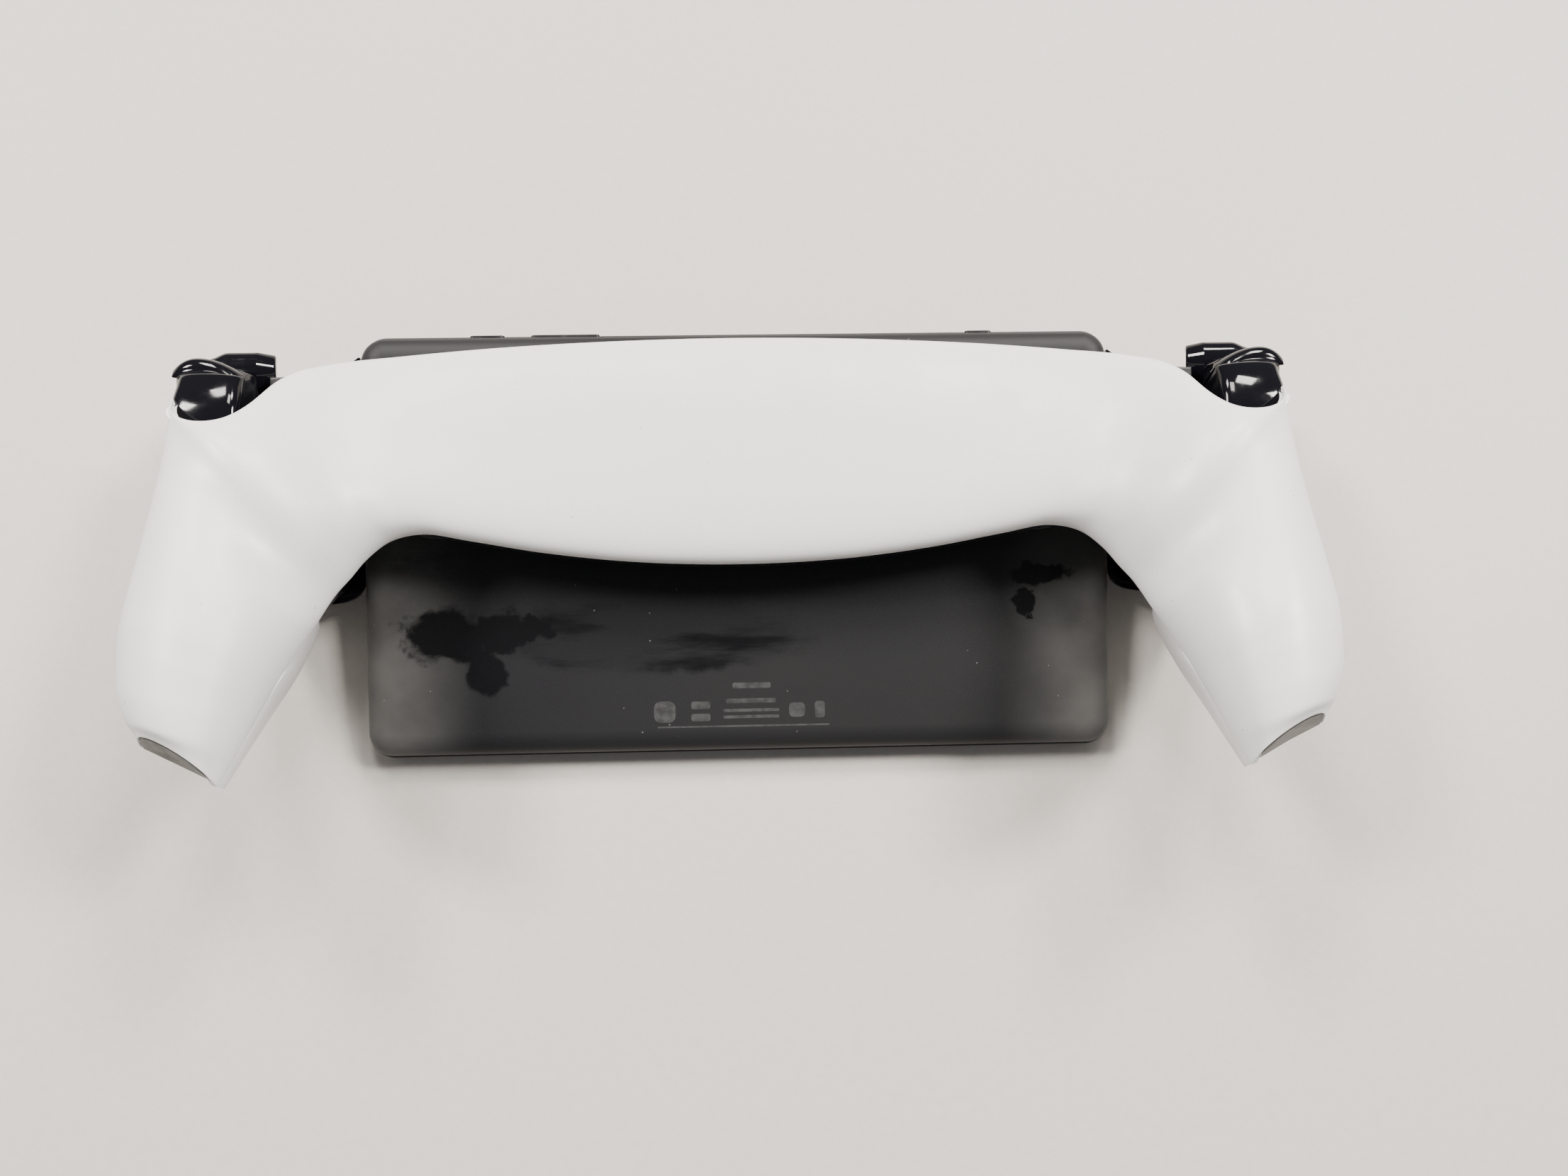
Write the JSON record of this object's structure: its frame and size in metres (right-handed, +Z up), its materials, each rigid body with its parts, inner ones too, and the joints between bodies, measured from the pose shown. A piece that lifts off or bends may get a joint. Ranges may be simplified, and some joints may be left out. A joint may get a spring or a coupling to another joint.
{
  "type": "handheld remote-play game controller",
  "caption": "Handheld game controller: a tablet screen held between two swept-back grips by a one-piece rear shell, with triggers, bumpers, thumbsticks and buttons.",
  "frame": {"origin": "middle of the footprint on the surface the controller lies on, face down", "axes": "+X along the length, +Y towards the triggers and the upper edge of the tablet, +Z up, out of the back; the tablet is tipped 10 degrees, its upper edge raised by the thumbsticks"},
  "size_m": [0.2796, 0.1168, 0.0709],
  "materials": {
    "white_shell": "fine satin texture",
    "gloss_black": "polished",
    "matte_black": "fine matte texture with finger marks",
    "inner_black": "moulded",
    "grey_trim": "moulded satin",
    "screen_glass": "polished cover glass",
    "stick_rubber": "moulded soft grip",
    "silicone": "moulded silicone",
    "board": "solder mask",
    "battery_cell": "wrapped foil cell",
    "steel": "plated"
  },
  "bodies": {
    "frame": {"rear_shell": "white_shell", "front_cover_right": "white_shell", "front_cover_left": "white_shell", "grip_end_trim_right": "grey_trim", "grip_end_trim_left": "grey_trim", "side_liner_right": "gloss_black", "side_liner_left": "gloss_black", "deck_right": "gloss_black", "deck_left": "gloss_black", "bridge_skirt": "matte_black", "tablet_frame": "matte_black", "tablet_rear_cover": "matte_black", "cover_glass": "screen_glass", "lcd_panel": "inner_black", "audio_socket": "inner_black", "shoulder_housing_right": "inner_black", "shoulder_housing_left": "inner_black", "stick_housing_right": "inner_black", "stick_housing_left": "inner_black", "speaker_right": "inner_black", "speaker_left": "inner_black", "main_board": "board", "antenna_board_right": "board", "antenna_board_left": "board", "battery_pack": "battery_cell", "usb_socket": "steel", "trigger_pin_right": "steel", "trigger_pin_left": "steel", "bumper_pin_right": "steel", "bumper_pin_left": "steel", "rumble_motor_right": "steel", "rumble_motor_left": "steel", "button_membrane_right": "silicone", "button_membrane_left": "silicone"},
    "trigger_right_body": {"trigger_right": "gloss_black"},
    "bumper_right_body": {"bumper_right": "gloss_black"},
    "stick_press_right": {"stick_base_right": "inner_black"},
    "stick_tilt_right": {"stick_gimbal_right": "inner_black"},
    "stick_right": {"stick_cap_right": "stick_rubber"},
    "trigger_left_body": {"trigger_left": "gloss_black"},
    "bumper_left_body": {"bumper_left": "gloss_black"},
    "stick_press_left": {"stick_base_left": "inner_black"},
    "stick_tilt_left": {"stick_gimbal_left": "inner_black"},
    "stick_left": {"stick_cap_left": "stick_rubber"},
    "cross_pad_rock": {"cross_pad_rocker": "inner_black"},
    "cross_pad_body": {"cross_pad": "gloss_black"},
    "face_button_upper_body": {"face_button_upper": "gloss_black"},
    "face_button_lower_body": {"face_button_lower": "gloss_black"},
    "face_button_inner_body": {"face_button_inner": "gloss_black"},
    "face_button_outer_body": {"face_button_outer": "gloss_black"},
    "options_button_body": {"options_button": "inner_black"},
    "share_button_body": {"share_button": "inner_black"},
    "mute_button_body": {"mute_button": "inner_black"},
    "home_button_body": {"home_button": "inner_black"},
    "power_button_body": {"power_button": "inner_black"},
    "link_button_body": {"link_button": "inner_black"},
    "volume_rocker_body": {"volume_rocker": "inner_black"}
  },
  "joints": [
    {"name": "trigger_right_pull", "type": "hinge", "parent": "frame", "child": "trigger_right_body", "pos_m": [0.126, 0.03216, 0.02984], "axis": [1, 0, 0], "range_deg": [0, 14], "stiffness_Nm_per_rad": 0.08, "springref_deg": -5.73},
    {"name": "bumper_right_press", "type": "hinge", "parent": "frame", "child": "bumper_right_body", "pos_m": [0.125, 0.04201, 0.02406], "axis": [1, 0, 0], "range_deg": [0, 5], "stiffness_Nm_per_rad": 0.4, "springref_deg": -2.86},
    {"name": "stick_right_click", "type": "slide", "parent": "frame", "child": "stick_press_right", "axis": [0, -0.1736, 0.9848], "range_m": [0, 0.0005], "stiffness_N_per_m": 20000, "springref_m": -0.0002},
    {"name": "stick_right_up_down", "type": "hinge", "parent": "stick_press_right", "child": "stick_tilt_right", "pos_m": [0.1135, 0.00209, 0.01895], "axis": [1, 0, 0], "range_deg": [-18, 18], "stiffness_Nm_per_rad": 1},
    {"name": "stick_right_side_to_side", "type": "hinge", "parent": "stick_tilt_right", "child": "stick_right", "pos_m": [0.1135, 0.00209, 0.01895], "axis": [0, 0.9848, 0.1736], "range_deg": [-18, 18], "stiffness_Nm_per_rad": 1},
    {"name": "trigger_left_pull", "type": "hinge", "parent": "frame", "child": "trigger_left_body", "pos_m": [-0.126, 0.03216, 0.02984], "axis": [1, 0, 0], "range_deg": [0, 14], "stiffness_Nm_per_rad": 0.08, "springref_deg": -5.73},
    {"name": "bumper_left_press", "type": "hinge", "parent": "frame", "child": "bumper_left_body", "pos_m": [-0.125, 0.04201, 0.02406], "axis": [1, 0, 0], "range_deg": [0, 5], "stiffness_Nm_per_rad": 0.4, "springref_deg": -2.86},
    {"name": "stick_left_click", "type": "slide", "parent": "frame", "child": "stick_press_left", "axis": [0, -0.1736, 0.9848], "range_m": [0, 0.0005], "stiffness_N_per_m": 20000, "springref_m": -0.0002},
    {"name": "stick_left_up_down", "type": "hinge", "parent": "stick_press_left", "child": "stick_tilt_left", "pos_m": [-0.1135, 0.00209, 0.01895], "axis": [1, 0, 0], "range_deg": [-18, 18], "stiffness_Nm_per_rad": 1},
    {"name": "stick_left_side_to_side", "type": "hinge", "parent": "stick_tilt_left", "child": "stick_left", "pos_m": [-0.1135, 0.00209, 0.01895], "axis": [0, 0.9848, 0.1736], "range_deg": [-18, 18], "stiffness_Nm_per_rad": 1},
    {"name": "cross_pad_up_down", "type": "hinge", "parent": "frame", "child": "cross_pad_rock", "pos_m": [0.1135, 0.02802, 0.01875], "axis": [1, 0, 0], "range_deg": [-5, 5], "stiffness_Nm_per_rad": 0.3},
    {"name": "cross_pad_side_to_side", "type": "hinge", "parent": "cross_pad_rock", "child": "cross_pad_body", "pos_m": [0.1135, 0.02802, 0.01875], "axis": [0, 0.9848, 0.1736], "range_deg": [-5, 5], "stiffness_Nm_per_rad": 0.3},
    {"name": "face_button_upper_press", "type": "slide", "parent": "frame", "child": "face_button_upper_body", "axis": [0, -0.1736, 0.9848], "range_m": [0, 0.001], "stiffness_N_per_m": 400, "springref_m": -0.0005},
    {"name": "face_button_lower_press", "type": "slide", "parent": "frame", "child": "face_button_lower_body", "axis": [0, -0.1736, 0.9848], "range_m": [0, 0.001], "stiffness_N_per_m": 400, "springref_m": -0.0005},
    {"name": "face_button_inner_press", "type": "slide", "parent": "frame", "child": "face_button_inner_body", "axis": [0, -0.1736, 0.9848], "range_m": [0, 0.001], "stiffness_N_per_m": 400, "springref_m": -0.0005},
    {"name": "face_button_outer_press", "type": "slide", "parent": "frame", "child": "face_button_outer_body", "axis": [0, -0.1736, 0.9848], "range_m": [0, 0.001], "stiffness_N_per_m": 400, "springref_m": -0.0005},
    {"name": "options_button_press", "type": "slide", "parent": "frame", "child": "options_button_body", "axis": [0, -0.1736, 0.9848], "range_m": [0, 0.0006], "stiffness_N_per_m": 500, "springref_m": -0.0004},
    {"name": "share_button_press", "type": "slide", "parent": "frame", "child": "share_button_body", "axis": [0, -0.1736, 0.9848], "range_m": [0, 0.0006], "stiffness_N_per_m": 500, "springref_m": -0.0004},
    {"name": "mute_button_press", "type": "slide", "parent": "frame", "child": "mute_button_body", "axis": [0, -0.1736, 0.9848], "range_m": [0, 0.0006], "stiffness_N_per_m": 500, "springref_m": -0.0004},
    {"name": "home_button_press", "type": "slide", "parent": "frame", "child": "home_button_body", "axis": [0, -0.1736, 0.9848], "range_m": [0, 0.0006], "stiffness_N_per_m": 500, "springref_m": -0.0004},
    {"name": "power_button_press", "type": "slide", "parent": "frame", "child": "power_button_body", "axis": [0, -0.9848, -0.1736], "range_m": [0, 0.0004], "stiffness_N_per_m": 800, "springref_m": -0.0003},
    {"name": "link_button_press", "type": "slide", "parent": "frame", "child": "link_button_body", "axis": [0, -0.9848, -0.1736], "range_m": [0, 0.0004], "stiffness_N_per_m": 800, "springref_m": -0.0003},
    {"name": "volume_rocker_tilt", "type": "hinge", "parent": "frame", "child": "volume_rocker_body", "pos_m": [-0.045, 0.0566, 0.02308], "axis": [0, -0.1736, 0.9848], "range_deg": [-1.5, 1.5], "stiffness_Nm_per_rad": 0.3}
  ]
}
